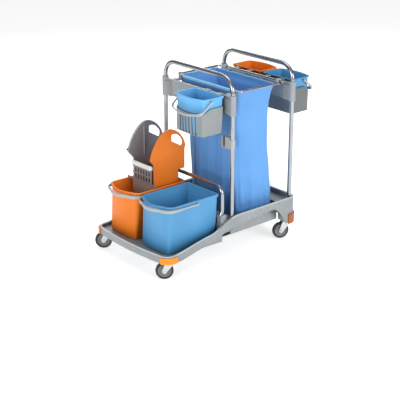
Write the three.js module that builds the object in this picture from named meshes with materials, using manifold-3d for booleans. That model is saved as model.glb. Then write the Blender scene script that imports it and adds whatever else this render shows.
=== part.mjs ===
// Two-bucket housekeeping cart: a moulded tray on four swivel castors, two bent-tube frames,
// a low rail, a hung bag, a jaw wringer and three small buckets in holders.
// Millimetres, +Z up. The bucket end faces -X, the bag end faces +X, the floor is Z = 0.
import * as THREE from 'three';
import { mergeVertices } from 'three/addons/utils/BufferGeometryUtils.js';
import Module from 'manifold-3d';

const wasm = await Module();
wasm.setup();

// ---- driving dimensions ------------------------------------------------------------------

const clearance = 0.3;          // gap between pieces that touch
const sideGap = 4;              // gap that keeps neighbouring large parts apart

// castors
const wheelDiameter = 96;
const tyreWidth = 26;
const tyreThickness = 13;
const hubWidth = 30;
const axleDiameter = 8;
const castorTrail = 28;         // wheel centre behind the swivel axis
const forkThickness = 2.5;
const swivelHeight = 6.4;       // bearing ring between fork and plate
const castorPlateSize = 50;
const castorPlateThickness = 3;

// large buckets
const bucketLength = 375;
const bucketWidth = 260;
const bucketHeight = 268;
const bucketBow = 26;           // how far the front of the rim swells
const bucketFootBow = 10;       // and the front of the foot
const bucketCorner = 48;        // front corners at the rim
const bucketFootCorner = 29;    // and at the foot, before the wall's lean is taken off
const bucketTaper = 9;          // each wall leans in this much towards the floor
const bucketRim = 8;            // rim stands out from the wall
const bucketRimDepth = 13;
const bucketWall = 3;
const bailRadius = 3.5;
const bailReach = 19;           // bail grip stands this far in front of the rim

// small buckets and their holders
const smallLength = 165;        // out from the rail
const smallWidth = 240;
const smallHeight = 198;
const smallBow = 16;
const smallFootBow = 8;
const smallCorner = 30;
const smallFootCorner = 23;
const smallTaper = 10;
const smallRim = 7;
const smallRimDepth = 9;
const smallWall = 2.5;
const smallBailRadius = 3;
const holderWall = 3;
const holderDepth = 145;
const holderFrontDrop = 31;     // front edge of the holder is lower than its sides
const holderSlots = 6;

// tray
const trayWall = 4;
const trayFloorThickness = 4;
const trayRimWidth = 14;
const trayCornerRadius = 50;
const trayBow = 17;             // front edge swells this much
const trayWaist = 12;           // sides draw in beside the front frame
const frontShelf = 33;          // tray in front of the bucket rims
const sideShelf = 42;           // tray beside the bucket rims
const floorToRim = 15;          // front rim above the front floor
const deckRise = 103;           // rear deck above the front floor
const deckToRim = 27;           // rear rim above the deck
const rearOverhang = 36;        // tray behind the rear frame
const bumperThickness = 8;
const rearBumperDrop = 68;      // top of the rear bumpers below the deck
const frontBumperReach = [78, 42];  // along the cart and across it
const rearBumperReach = [68, 62];
const pocketDepth = 60;         // recess beside each frame leg, round the low rail's foot

// frames and rails
const tubeRadius = 12;
const lowTubeRadius = 11;
const rodRadius = 6;
const frameSpacing = 442;       // front frame to rear frame
const frameHeight = 788;        // deck to the centre line of the top bar
const frameBend = 85;
const lowRailHeight = 199;      // deck to the centre line of the low rail
const lowRailOffset = 60;       // low rail in front of the front frame
const legInset = 30;            // frame legs in from the tray's side
const railDrop = 101;           // cross rail top below the top bar
const railHeight = 92;
const railThickness = 14;
const sleeveRadius = 18;
const clampWidth = 60;          // ribbed block beside each sleeve
const clampThickness = 28;

// bag
const rodDrop = 90;             // bag rods below the top bar
const rodBend = 30;
const frontRodX = 60;
const rearRodInset = 47;        // rear bag rod in front of the rear frame
const bagWall = 3;
const bagLength = 272;          // mouth, along the cart
const bagNarrow = 70;           // how much the hanging bag draws in on its left side
const bagSpread = 20;           // how far its foot reaches back past its middle

// wringer
const jawThickness = 10;
const jawGap = 170;             // between the inner faces of the open jaws
const jawHeight = 351;          // hinge to the top of the moving jaw
const backJawRise = 13;         // the fixed jaw stands this much higher
const backJawLead = 14;         // and this much further forward
const basketWall = 4;
const basketDepth = 90;         // basket below the bucket rim
const pinRadius = 4;

// ---- heights and places that follow from them ------------------------------------------

const wheelRadius = wheelDiameter / 2;
const crownBottom = wheelDiameter + 2;
const crownTop = crownBottom + 3;
const plateBottom = crownTop + clearance + swivelHeight + clearance;
const plateTop = plateBottom + castorPlateThickness;
const frontFloor = plateTop + clearance + 6.7 + trayFloorThickness;
const frontRimTop = frontFloor + floorToRim;
const deck = frontFloor + deckRise;
const rearRimTop = deck + deckToRim;
const wellFloor = frontFloor + 2;

const topBar = deck + frameHeight;
const lowRailZ = deck + lowRailHeight;
const railTop = topBar - railDrop;
const rodZ = topBar - rodDrop;
const smallRimTop = topBar - 93;

const bucketSpacing = bucketWidth / 2 + 2 * bailRadius + 1 + sideGap / 2;
const bucketRear = -(lowRailOffset + lowTubeRadius + 9);
const bucketCentre = bucketRear - bucketLength / 2;
const trayHalf = bucketSpacing + bucketWidth / 2 + sideShelf - sideGap / 2;
const legY = trayHalf - legInset;
const frontX = bucketRear - bucketLength - frontShelf;
const rearX = frameSpacing + rearOverhang;
const riserX = bucketRear - sideGap;

const castorX = [frontX + 56, rearX - 53];
const castorY = trayHalf - 38;
const wellX = [24, rearX - 106];
const wellHalf = trayHalf - 65;

// ---- materials ---------------------------------------------------------------------------

function finish(color, roughness, metalness = 0) {
  return new THREE.MeshStandardMaterial({ color, roughness, metalness });
}

const finishes = {
  chrome: () => finish('#d8dadc', 0.15, 1),
  trayGrey: () => finish('#a3a9ac', 0.55),
  holderGrey: () => finish('#a8adae', 0.5),
  orange: () => finish('#f08428', 0.4),
  amber: () => finish('#f5a82a', 0.45),
  blue: () => finish('#6fb3e6', 0.4),
  darkGrey: () => finish('#5f6064', 0.5),
  white: () => finish('#e8e8e6', 0.5),
  tyre: () => finish('#1c1c1d', 0.85),
  fabric: () => finish('#5b97de', 0.9),
};

// ---- solids ------------------------------------------------------------------------------

const vec = (x, y, z) => new THREE.Vector3(x, y, z);

// One closed body with shared corners, without the flat triangles that poles leave.
function toSolid(geometry) {
  const bare = geometry.clone();
  bare.deleteAttribute('normal');
  bare.deleteAttribute('uv');
  const merged = mergeVertices(bare, 1e-3);
  const index = merged.index.array;
  const kept = [];
  for (let i = 0; i < index.length; i += 3) {
    const [a, b, c] = [index[i], index[i + 1], index[i + 2]];
    if (a !== b && b !== c && c !== a) kept.push(a, b, c);
  }
  return new wasm.Manifold(new wasm.Mesh({
    numProp: 3,
    vertProperties: Float32Array.from(merged.attributes.position.array),
    triVerts: Uint32Array.from(kept),
  }));
}

function toGeometry(solid) {
  const { vertProperties, triVerts } = solid.getMesh();
  const geometry = new THREE.BufferGeometry();
  geometry.setAttribute('position', new THREE.BufferAttribute(vertProperties, 3));
  geometry.setIndex(new THREE.BufferAttribute(triVerts, 1));
  return geometry;
}

function join(...geometries) {
  return toGeometry(geometries.map(toSolid).reduce((a, b) => a.add(b)));
}

function cut(base, ...tools) {
  return toGeometry(tools.map(toSolid).reduce((a, b) => a.subtract(b), toSolid(base)));
}

function common(a, b) {
  return toGeometry(toSolid(a).intersect(toSolid(b)));
}

function box(x0, x1, y0, y1, z0, z1) {
  const block = new THREE.BoxGeometry(x1 - x0, y1 - y0, z1 - z0);
  return block.translate((x0 + x1) / 2, (y0 + y1) / 2, (z0 + z1) / 2);
}

// A box on the right (side -1) or left (side 1) of the cart, y0 and y1 counted outwards.
function sideBox(x0, x1, side, y0, y1, z0, z1) {
  return side > 0 ? box(x0, x1, y0, y1, z0, z1) : box(x0, x1, -y1, -y0, z0, z1);
}

function rodZAxis(radius, x, y, z0, z1, sides = 20) {
  const rod = new THREE.CylinderGeometry(radius, radius, z1 - z0, sides);
  return rod.rotateX(Math.PI / 2).translate(x, y, (z0 + z1) / 2);
}

function rodYAxis(radius, x, z, y0, y1, sides = 16) {
  const rod = new THREE.CylinderGeometry(radius, radius, y1 - y0, sides);
  return rod.translate(x, (y0 + y1) / 2, z);
}

function rodXAxis(radius, y, z, x0, x1, sides = 16) {
  const rod = new THREE.CylinderGeometry(radius, radius, x1 - x0, sides);
  return rod.rotateZ(Math.PI / 2).translate((x0 + x1) / 2, y, z);
}

function shapeOf(points) {
  return new THREE.Shape(points.map(([x, y]) => new THREE.Vector2(x, y)));
}

function extrude(shape, depth, curveSegments = 8) {
  return new THREE.ExtrudeGeometry(shape, { depth, curveSegments, bevelEnabled: false });
}

// A plan outline raised from z0 to z1.
function prism(shape, z0, z1) {
  return extrude(shape, z1 - z0).translate(0, 0, z0);
}

// An outline drawn in X and Z, thickened from y0 to y1.
function slabXZ(shape, y0, y1, curveSegments) {
  return extrude(shape, y1 - y0, curveSegments).rotateX(Math.PI / 2).translate(0, y1, 0);
}

// An outline drawn in Y and Z, thickened from x0 to x1.
function slabYZ(shape, x0, x1) {
  return extrude(shape, x1 - x0).rotateX(Math.PI / 2).rotateZ(Math.PI / 2).translate(x0, 0, 0);
}

// A skin over rings of points that all have the same count, closed at the first and last ring.
function loft(rings) {
  const count = rings[0].length;
  const positions = [];
  const index = [];
  for (const ring of rings) {
    for (const point of ring) positions.push(point.x, point.y, point.z);
  }
  for (let i = 0; i + 1 < rings.length; i++) {
    for (let j = 0; j < count; j++) {
      const a = i * count + j;
      const b = i * count + (j + 1) % count;
      index.push(a, b, b + count, a, b + count, a + count);
    }
  }
  for (const last of [0, rings.length - 1]) {
    const middle = new THREE.Vector3();
    for (const point of rings[last]) middle.addScaledVector(point, 1 / count);
    const centre = positions.length / 3;
    positions.push(middle.x, middle.y, middle.z);
    for (let j = 0; j < count; j++) {
      const a = last * count + j;
      const b = last * count + (j + 1) % count;
      if (last === 0) index.push(centre, b, a);
      else index.push(centre, a, b);
    }
  }
  const geometry = new THREE.BufferGeometry();
  geometry.setAttribute('position', new THREE.Float32BufferAttribute(positions, 3));
  geometry.setIndex(index);
  return geometry;
}

// A path whose cross-sections stand exactly on its own stations.
class StationPath extends THREE.Curve {
  constructor(stations) {
    super();
    this.stations = stations;
  }

  getPoint(t, target = new THREE.Vector3()) {
    const last = this.stations.length - 1;
    const i = Math.min(Math.floor(t * last), last - 1);
    return target.lerpVectors(this.stations[i], this.stations[i + 1], t * last - i);
  }

  getPointAt(t, target) {
    return this.getPoint(t, target);
  }

  getTangentAt(t, target) {
    return this.getTangent(t, target);
  }
}

function tube(stations, radius, curveSegments = 6) {
  const section = new THREE.Shape().absarc(0, 0, radius, 0, Math.PI * 2);
  return new THREE.ExtrudeGeometry(section, {
    steps: stations.length - 1,
    curveSegments,
    extrudePath: new StationPath(stations),
  });
}

// Stations of a bend about `centre`, from `start` towards `end` (both unit vectors from it).
function bend(centre, radius, start, end, steps = 6) {
  const angle = start.angleTo(end);
  const side = end.clone().addScaledVector(start, -Math.cos(angle)).normalize();
  const stations = [];
  for (let i = 0; i <= steps; i++) {
    const a = angle * i / steps;
    const spoke = start.clone().multiplyScalar(Math.cos(a)).addScaledVector(side, Math.sin(a));
    stations.push(spoke.multiplyScalar(radius).add(centre));
  }
  return stations;
}

const outX = vec(1, 0, 0);
const outY = vec(0, 1, 0);
const outZ = vec(0, 0, 1);
const minus = (v) => v.clone().negate();

// ---- tray --------------------------------------------------------------------------------

// How far the tray's side draws in at x: a smooth waist in front of the front frame.
function waistAt(x) {
  const [start, end] = [frontX + trayCornerRadius, 60];
  const t = THREE.MathUtils.clamp((x - start) / (end - start), 0, 1);
  return trayWaist * Math.sin(Math.PI * t) ** 2;
}

// The tray's plan outline, drawn in by `inset`.
function trayOutline(inset) {
  const radius = trayCornerRadius - inset;
  const half = trayHalf - inset;
  const outline = [];
  const corner = (cx, cy, from, steps = 5) => {
    for (let i = 0; i <= steps; i++) {
      const a = (from + 90 * i / steps) * Math.PI / 180;
      outline.push([cx + radius * Math.cos(a), cy + radius * Math.sin(a)]);
    }
  };
  const side = (sign, steps = 6) => {
    const [start, end] = [frontX + trayCornerRadius, 60];
    for (let i = 1; i < steps; i++) {
      const x = start + (end - start) * (sign > 0 ? 1 - i / steps : i / steps);
      outline.push([x, sign * (half - waistAt(x))]);
    }
  };
  const innerY = trayHalf - trayCornerRadius;
  corner(rearX - trayCornerRadius, -innerY, -90);
  corner(rearX - trayCornerRadius, innerY, 0);
  side(1);
  corner(frontX + trayCornerRadius, innerY, 90);
  const bowSteps = 6;
  for (let i = 1; i < bowSteps; i++) {
    const y = innerY * (1 - 2 * i / bowSteps);
    outline.push([frontX + inset - trayBow * (1 - (y / innerY) ** 2), y]);
  }
  corner(frontX + trayCornerRadius, -innerY, 180);
  side(-1);
  return shapeOf(outline);
}

// Side view of the tray: low at the buckets, high at the bag, arched over the rear castors.
function trayProfile() {
  const skirtFront = crownBottom;
  const skirtRear = crownBottom + 6;
  const riseStart = frontRimTop + 43;
  const shape = new THREE.Shape();
  shape.moveTo(frontX - 60, frontRimTop);
  shape.lineTo(frontX + 70, frontRimTop);
  shape.lineTo(riserX - 64, riseStart);
  shape.bezierCurveTo(riserX - 15, riseStart + 12, riserX + 10, rearRimTop - 12, riserX + 96, rearRimTop - 2);
  shape.lineTo(riserX + 150, rearRimTop);
  shape.lineTo(rearX + 60, rearRimTop);
  shape.lineTo(rearX + 60, skirtRear);
  shape.lineTo(rearX - 84, skirtRear);
  shape.bezierCurveTo(rearX - 100, skirtRear + 26, rearX - 140, rearRimTop - 40, rearX - 190, rearRimTop - 38);
  shape.lineTo(riserX + 190, rearRimTop - 51);
  shape.lineTo(riserX + 44, rearRimTop - 70);
  shape.lineTo(riserX - 64, riseStart - 42);
  shape.lineTo(frontX + 110, skirtFront);
  shape.lineTo(frontX - 60, skirtFront);
  return shape;
}

const pocketX = [riserX + 6, -sleeveRadius - 6];
const pocketY = [trayHalf - 110, trayHalf - 26];
const pocketFloor = deck - pocketDepth;

// Side view of the pan under the large buckets, hung inside the rising skirt.
function panProfile() {
  const bottom = frontFloor - trayFloorThickness;
  return shapeOf([
    [frontX + 60, bottom],
    [riserX + trayWall, bottom],
    [riserX + trayWall, deck - 25],
    [riserX - 64, frontRimTop + 39],
    [frontX + 60, frontRimTop - 4],
  ]);
}

function legSocket(x, y, radius, top) {
  return rodZAxis(radius, x, y, deck - 26, top, 24);
}

function makeTray() {
  const wide = trayHalf + 20;
  const under = crownBottom - 40;
  const base = common(prism(trayOutline(0), under, rearRimTop + 20), slabXZ(trayProfile(), -wide, wide));
  const inner = trayOutline(trayRimWidth);
  const cavity = trayOutline(trayWall);
  const above = rearRimTop + 40;
  const recesses = [
    common(prism(inner, frontFloor, above), box(frontX - 50, riserX, -wide, wide, 0, above)),
    common(prism(inner, deck, above), box(riserX - 1, rearX + 50, -wide, wide, 0, above)),
    common(
      prism(cavity, under - 10, frontFloor - trayFloorThickness),
      box(frontX - 50, riserX + trayWall, -wide, wide, 0, above),
    ),
    common(
      prism(cavity, under - 10, deck - trayFloorThickness),
      box(riserX + trayWall - 0.01, rearX + 50, -wide, wide, 0, above),
    ),
  ];
  const pan = cut(
    common(prism(trayOutline(trayRimWidth - trayWall), under, above), slabXZ(panProfile(), -wide, wide)),
    recesses[0],
  );
  const walls = [
    pan,
    box(wellX[0] - trayWall, wellX[1] + trayWall, -wellHalf - trayWall, wellHalf + trayWall,
      wellFloor - trayWall, deck - 1),
    cut(
      box(riserX + 1, wellX[0], -wellHalf - trayWall, wellHalf + trayWall, wellFloor - trayWall, wellFloor),
      box(riserX + 40, wellX[0] - 20, -wellHalf + 30, wellHalf - 30, 0, above),
    ),
  ];
  for (const side of [-1, 1]) {
    walls.push(legSocket(0, side * legY, sleeveRadius, deck + 18));
    walls.push(legSocket(frameSpacing, side * legY, sleeveRadius, deck + 18));
    walls.push(sideBox(riserX + 2, pocketX[1] + trayWall, side, pocketY[0] - trayWall, pocketY[1] + trayWall,
      pocketFloor - trayWall, deck - 1));
    walls.push(rodZAxis(24, castorX[0], side * castorY, plateTop + clearance, frontFloor - 1));
    walls.push(box(castorX[1] - 30, castorX[1] + 30, side * castorY - 30, side * castorY + 30,
      plateTop + clearance, deck - 1));
  }
  const holes = [
    box(wellX[0], wellX[1], -wellHalf, wellHalf, wellFloor, above),
  ];
  for (const side of [-1, 1]) {
    for (const x of [0, frameSpacing]) {
      holes.push(rodZAxis(tubeRadius + clearance, x, side * legY, deck - 22, above, 24));
    }
    holes.push(sideBox(...pocketX, side, ...pocketY, pocketFloor, above));
  }
  const bosses = [-1, 1].map((side) => sideBox(riserX + 1, riserX + 40, side, lowLegY - 18, lowLegY + 18,
    pocketFloor - 1, deck + 40));
  const body = cut(join(cut(base, ...recesses), ...walls), ...holes);
  return cut(join(body, ...bosses), lowRailTube(lowTubeRadius + 2 * clearance));
}

// A coloured cap round one corner of the tray.
function makeBumper(front, side) {
  const [low, high] = front ? [crownBottom, frontRimTop - 3] : [crownBottom, deck - rearBumperDrop];
  const shell = cut(
    prism(trayOutline(-bumperThickness), low, high),
    prism(trayOutline(-clearance), low - 1, high + 1),
  );
  const [along, across] = front ? frontBumperReach : rearBumperReach;
  const [x0, x1] = front ? [frontX - 60, frontX + along] : [rearX - along, rearX + 60];
  return common(shell, sideBox(x0, x1, side, trayHalf - across, trayHalf + 30, low - 5, high + 5));
}

// ---- frames and rails --------------------------------------------------------------------

// A tall frame: two legs and a top bar in one bent tube.
function makeFrame(x) {
  const reach = legY - frameBend;
  const stations = [
    vec(x, -legY, deck - 22 + clearance),
    ...bend(vec(x, -reach, topBar - frameBend), frameBend, minus(outY), outZ),
    ...bend(vec(x, reach, topBar - frameBend), frameBend, outZ, outY),
    vec(x, legY, deck - 22 + clearance),
  ];
  return tube(stations, tubeRadius);
}

const lowLegY = legY - 12;
const lowBend = 50;
const footBend = 36;
const footAngle = 25 * Math.PI / 180;

// The low rail behind the large buckets: its feet turn forward into the tray's blocks.
function lowRailTube(radius) {
  const x = -lowRailOffset;
  const kneeZ = deck + 65;
  const footEnd = vec(-Math.sin(footAngle), 0, -Math.cos(footAngle));
  const foot = (y) => {
    const spoke = vec(Math.cos(footAngle), 0, -Math.sin(footAngle));
    const knee = bend(vec(x - footBend, y, kneeZ), footBend, outX, spoke, 3);
    return [...knee, knee.at(-1).clone().addScaledVector(footEnd, 18)];
  };
  const stations = [
    ...foot(-lowLegY).reverse(),
    ...bend(vec(x, lowBend - lowLegY, lowRailZ - lowBend), lowBend, minus(outY), outZ),
    ...bend(vec(x, lowLegY - lowBend, lowRailZ - lowBend), lowBend, outZ, outY),
    ...foot(lowLegY),
  ];
  return tube(stations, radius);
}

// A plastic panel between a frame's legs, with a sleeve round each leg.
function makeCrossRail(x) {
  const half = railThickness / 2;
  const bottom = railTop - railHeight;
  const parts = [
    box(x - half, x + half, -legY, legY, bottom, railTop),
    box(x - half - 3, x + half + 3, -legY, legY, bottom, bottom + 6),
  ];
  const bores = [];
  for (const side of [-1, 1]) {
    parts.push(rodZAxis(sleeveRadius, x, side * legY, bottom - 8, railTop + 10, 24));
    const [inner, outer] = [legY - sleeveRadius - clampWidth + 18, legY - 4];
    const [low, high] = [bottom - 4, rodZ - 24];
    parts.push(sideBox(x - clampThickness / 2, x + clampThickness / 2, side, inner, outer, low, high));
    for (let y = inner + 8; y < legY - sleeveRadius - 4; y += 10) {
      for (const face of [-1, 1]) {
        const [a, b] = face > 0 ? [clampThickness / 2 - 3, 20] : [-20, 3 - clampThickness / 2];
        bores.push(sideBox(x + a, x + b, side, y, y + 4, low + 8, high - 8));
      }
    }
    bores.push(rodZAxis(tubeRadius + clearance, x, side * legY, bottom - 20, railTop + 20, 24));
  }
  return cut(join(...parts), ...bores);
}

const rodY = legY - 22;
const rearRodX = frameSpacing - rearRodInset;
const clipY = rodY - rodBend - 13;
const rodSideEnd = 18;          // side rods stop this far short of the opposite rail rod

// One of the two bent rods that carry the bag: a bar along a cross rail and one side.
function makeBagRod(barX, sideEndX, side) {
  const inward = Math.sign(sideEndX - barX);
  const start = vec(barX, -side * (clipY + 12), rodZ);
  const corner = vec(barX + inward * rodBend, side * (rodY - rodBend), rodZ);
  const toBar = inward > 0 ? minus(outX) : outX;
  const toSide = side > 0 ? outY : minus(outY);
  return tube([start, ...bend(corner, rodBend, toBar, toSide), vec(sideEndX, side * rodY, rodZ)], rodRadius, 5);
}

// A cap on a rod end that points along X.
function makeRodCap(x, y, direction) {
  const outer = rodRadius + 2;
  const [a, b] = direction > 0 ? [x - 10, x + 3] : [x - 3, x + 10];
  const [c, d] = direction > 0 ? [x - 20, x + clearance] : [x - clearance, x + 20];
  return cut(rodXAxis(outer, y, rodZ, a, b), rodXAxis(rodRadius + clearance, y, rodZ, c, d));
}

// A block on the cross rail that holds a bag rod.
const clipReach = 11;           // clip jaw beyond the rod's middle

function makeRodClip(railX, rodX, y) {
  const half = railThickness / 2 + clearance;
  const [x0, x1] = rodX > railX ? [railX + half, rodX + clipReach] : [rodX - clipReach, railX - half];
  const body = join(
    box(x0, x1, y - 10, y + 10, rodZ - 22, rodZ - 9),
    box(rodX - clipReach, rodX + clipReach, y - 10, y + 10, rodZ - 10, rodZ + 10),
  );
  return cut(body, rodYAxis(rodRadius + clearance, rodX, rodZ, y - 30, y + 30, 14));
}

const clipZ = topBar - 356;     // handle clip height on the front frame's leg

// A clip for a mop handle: a collar on the leg and a block with an open channel.
function makeHandleClip() {
  const y = -legY;
  const body = join(
    rodZAxis(sleeveRadius - 3, 0, y, clipZ - 24, clipZ + 24, 20),
    box(-13, 13, y + 6, y + 74, clipZ - 32, clipZ + 32),
  );
  return cut(
    body,
    rodZAxis(tubeRadius + clearance, 0, y, clipZ - 60, clipZ + 60, 24),
    box(-20, 7, y + 46, y + 64, clipZ - 40, clipZ + 40),
  );
}

function makeHandleClipGrip() {
  const y = -legY + 46 + clearance;
  return box(-11, 7 - clearance, y, y + 6, clipZ - 28, clipZ + 28);
}

// ---- buckets -----------------------------------------------------------------------------

// One level of a bucket, counter-clockwise: square at the back, bowed at the front (-X).
// `share` is how far up the bucket it is: the front is sharper and flatter at the foot.
function bucketRing(size, inset, z, share = z / size.height, steps = 4) {
  const up = THREE.MathUtils.clamp(share, 0, 1);
  const bow = THREE.MathUtils.lerp(size.footBow, size.bow, up);
  const halfL = size.length / 2 - inset;
  const halfW = size.width / 2 - inset;
  const rear = Math.max(size.rearRadius - inset, 4);
  const front = Math.max(THREE.MathUtils.lerp(size.footRadius, size.frontRadius, up) - inset, 4);
  const ring = [];
  const corner = (cx, cy, radius, from) => {
    for (let i = 0; i <= steps; i++) {
      const a = (from + 90 * i / steps) * Math.PI / 180;
      ring.push(vec(cx + radius * Math.cos(a), cy + radius * Math.sin(a), z));
    }
  };
  corner(halfL - rear, rear - halfW, rear, -90);
  corner(halfL - rear, halfW - rear, rear, 0);
  corner(bow + front - halfL, halfW - front, front, 90);
  for (let i = 1; i < 6; i++) {
    const y = (halfW - front) * (1 - i / 3);
    ring.push(vec(bow * (y / (halfW - front)) ** 2 - halfL, y, z));
  }
  corner(bow + front - halfL, front - halfW, front, 180);
  return ring;
}

// An open bucket standing on z = 0, with a boss on each side for its bail.
function makeBucket(size) {
  const { height, taper, rim, rimDepth, wall, pivotX, pivotDrop, pinR } = size;
  const shell = loft([
    bucketRing(size, rim + taper, 0),
    bucketRing(size, rim, height - rimDepth),
    bucketRing(size, 0, height - rimDepth + 2),
    bucketRing(size, 0, height),
    bucketRing(size, rim + wall, height),
    bucketRing(size, rim + taper + wall, wall),
  ]);
  const pivotZ = height - pivotDrop;
  const wallY = size.width / 2 - rim;
  const bossY = size.width / 2 - 1.5;
  const bosses = [-1, 1].map((side) => {
    const [a, b] = side > 0 ? [wallY - 2, bossY] : [-bossY, 2 - wallY];
    return rodYAxis(pinR + 3, pivotX, pivotZ, a, b, 12);
  });
  const bores = [-1, 1].map((side) => {
    const [a, b] = side > 0 ? [bossY - 5, bossY + 9] : [-bossY - 9, 5 - bossY];
    return rodYAxis(pinR + 2 * clearance, pivotX, pivotZ, a, b, 12);
  });
  return cut(join(shell, ...bosses), ...bores);
}

// A bail about the Y axis through its own origin, lying forward (-X) in the bucket's bow.
function makeBail(size) {
  const armY = size.width / 2 + 1 + size.pinR;
  const reach = size.length / 2 + size.pivotX + size.bailReach;
  const turn = size.frontRadius + 8;
  const half = armY - turn;
  const hub = 5;
  const side = (sign) => [
    vec(0, sign * (size.width / 2 - 1.5 - 4.5), 0),
    ...bend(vec(-hub, sign * (armY - hub), 0), hub, outX, vec(0, sign, 0), 3).slice(1),
    ...bend(vec(turn + size.bow - reach, sign * half, 0), turn, vec(0, sign, 0), minus(outX), 5),
  ];
  const grip = [];
  for (let i = 1; i < 6; i++) {
    const y = half * (1 - i / 3);
    grip.push(vec(size.bow * (y / half) ** 2 - reach, y, 0));
  }
  return tube([...side(1), ...grip, ...side(-1).reverse()], size.pinR, 3);
}

const largeBucket = {
  length: bucketLength,
  width: bucketWidth,
  height: bucketHeight,
  bow: bucketBow,
  footBow: bucketFootBow,
  frontRadius: bucketCorner,
  footRadius: bucketFootCorner,
  rearRadius: 16,
  taper: bucketTaper,
  rim: bucketRim,
  rimDepth: bucketRimDepth,
  wall: bucketWall,
  pivotX: 31,
  pivotDrop: bucketRimDepth + bailRadius + 4,
  pinR: bailRadius,
  bailReach,
};

const smallBucket = {
  length: smallLength,
  width: smallWidth,
  height: smallHeight,
  bow: smallBow,
  footBow: smallFootBow,
  frontRadius: smallCorner,
  footRadius: smallFootCorner,
  rearRadius: 14,
  taper: smallTaper,
  rim: smallRim,
  rimDepth: smallRimDepth,
  wall: smallWall,
  pivotX: -8,
  pivotDrop: smallRimDepth + smallBailRadius + 4,
  pinR: smallBailRadius,
  bailReach: 46,
};

// ---- holder for a small bucket, its back against the rail at x = 0, opening upwards ------

const smallRearX = 24.5;        // small rims stand off from the rail, clear of the hooks
const smallCentreX = -(smallRearX + smallLength / 2);
const holderTop = smallRimTop - smallHeight - clearance - holderWall + holderDepth;
const holderBottom = holderTop - holderDepth;
const smallBase = smallRimTop - smallHeight;

function makeHolder() {
  const place = (ring) => ring.map((p) => p.setX(p.x + smallCentreX));
  const fit = 2.5;              // bucket wall to holder wall
  const at = (inset, z) => place(bucketRing(smallBucket, inset, z, (z - smallBase) / smallHeight));
  const lean = smallTaper * holderDepth / (smallHeight - smallRimDepth);
  const shell = loft([
    at(smallRim + smallTaper - fit - holderWall, holderBottom),
    at(smallRim + smallTaper - fit - holderWall - lean, holderTop),
    at(smallRim + smallTaper - fit - lean, holderTop),
    at(smallRim + smallTaper - fit, holderBottom + holderWall),
  ]);
  const outerX = smallCentreX - smallLength / 2 - 5;
  const slope = shapeOf([
    [outerX - 10, holderTop - holderFrontDrop],
    [outerX + 10, holderTop - holderFrontDrop],
    [outerX + 74, holderTop + 1],
    [outerX - 10, holderTop + 1],
  ]);
  const wide = smallWidth / 2 + 10;
  const tools = [slabXZ(slope, -wide, wide)];
  const pitch = 25;
  for (let i = 0; i < holderSlots; i++) {
    const y = (i - (holderSlots - 1) / 2) * pitch;
    tools.push(box(outerX - 10, smallCentreX - 20, y - 6.5, y + 6.5,
      holderBottom + holderWall + 2, holderTop - holderFrontDrop - 10));
  }
  const plateX = 1.5 - smallRearX;
  const grip = railTop + clearance;
  const behind = railThickness + clearance;
  const hooks = [-1, 1].flatMap((side) => {
    const y = side * (smallWidth / 4 - 8);
    return [
      box(plateX, behind + 3, y - 16, y + 16, grip, grip + 3),
      box(behind, behind + 3, y - 16, y + 16, grip - 14, grip + 1),
      box(plateX, plateX + 3, y - 16, y + 16, holderTop - 40, grip + 3),
      box(plateX - 8, -clearance, y - 3, y + 3, holderTop - 34, holderTop - 6),
    ];
  });
  return join(cut(shell, ...tools), ...hooks);
}

// ---- wringer -----------------------------------------------------------------------------

const rimZ = frontFloor + clearance + bucketHeight;
const jawY = bucketSpacing - jawGap / 2 - jawThickness / 2 - 3;   // middle of the moving jaw
const backJawY = jawY + jawGap + jawThickness;
const hingeZ = rimZ - 46;
const basketX = [bucketRear - 210, bucketRear - 20];
const hookThickness = 9;
const hookTop = lowRailZ + lowTubeRadius + clearance + hookThickness;
const jawTop = hingeZ + jawHeight;

// Side view of a jaw: a dome with an off-centre hand hole, narrower where it enters the basket.
// The dome is moved forward by `lead` and up by `rise`.
function jawShape(lead, rise) {
  const [x0, x1] = basketX;
  const [x, top] = [x0 - lead, jawTop + rise];
  const shoulder = lowRailZ + 100;
  const shape = new THREE.Shape();
  shape.moveTo(x0 + basketWall + 8, hingeZ - 2);
  shape.lineTo(x0 + basketWall + 8, shoulder - 12);
  shape.lineTo(x - 12, shoulder + 18 + rise);
  shape.bezierCurveTo(x + 10, shoulder + 108 + rise, x + 75, top, x + 118, top);
  shape.bezierCurveTo(x + 172, top, x + 224, top - 55, x + 234, top - 110);
  shape.lineTo(x + 227, top - 129);
  shape.lineTo(x0 + 226, lowRailZ + 30);
  shape.lineTo(x1 - basketWall - 4, lowRailZ + 30);
  shape.lineTo(x1 - basketWall - 4, hingeZ - 2);
  const hole = new THREE.Path();
  hole.moveTo(x + 206, top - 110);
  hole.quadraticCurveTo(x + 218, top - 104, x + 215, top - 80);
  hole.quadraticCurveTo(x + 194, top - 36, x + 150, top - 31);
  hole.lineTo(x + 135, top - 34);
  hole.lineTo(x + 135, top - 69);
  shape.holes.push(hole);
  return shape;
}

function makeLever() {
  const plate = slabXZ(jawShape(0, 0), jawY - jawThickness / 2, jawY + jawThickness / 2, 7);
  const [x0, x1] = [basketX[0] + basketWall + 8, basketX[1] - basketWall - 4];
  const barrel = rodXAxis(pinRadius + 6, jawY, hingeZ, x0, x1, 20);
  return cut(join(plate, barrel), rodXAxis(pinRadius + clearance, jawY, hingeZ, x0 - 5, x1 + 5, 16));
}

function makeBackJaw() {
  const [y0, y1] = [backJawY - jawThickness / 2, backJawY + jawThickness / 2];
  const ribX = basketX[0] + 86;
  return join(
    slabXZ(jawShape(backJawLead, backJawRise), y0, y1, 7),
    box(ribX - 4, ribX + 4, y0 - 6, y0 + 1, rimZ + 120, jawTop + backJawRise - 22),
  );
}

const lipZ = rimZ + 92;

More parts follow.
